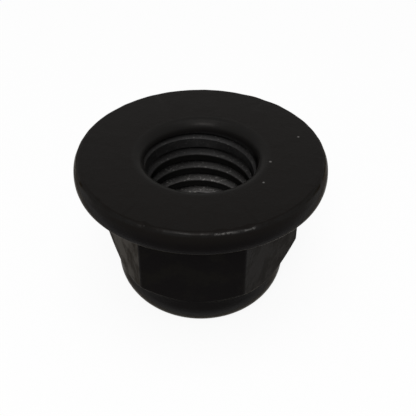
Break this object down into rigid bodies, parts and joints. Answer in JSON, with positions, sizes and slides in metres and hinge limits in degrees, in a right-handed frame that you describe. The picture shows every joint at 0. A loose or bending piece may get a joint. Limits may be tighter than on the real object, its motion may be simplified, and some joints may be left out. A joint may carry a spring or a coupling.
{
  "type": "hexagon flange nut",
  "caption": "Hexagon nut with a wide plain flange and a round domed collar, threaded right through: it clamps parts on a bolt without a separate washer.",
  "frame": {"origin": "centre of the thread's axis on the collar's end face, which is the plane that the nut stands on", "axes": "+Z along the thread's axis, from the collar's end face to the flange's bearing face; one pair of hexagon flats faces -Y and +Y"},
  "size_m": [0.0256, 0.0256, 0.0166],
  "materials": {
    "black_steel": "dark phosphate and oil coating on forged steel, semi-matt"
  },
  "bodies": {
    "root": {"flange_nut": "black_steel"}
  },
  "joints": []
}
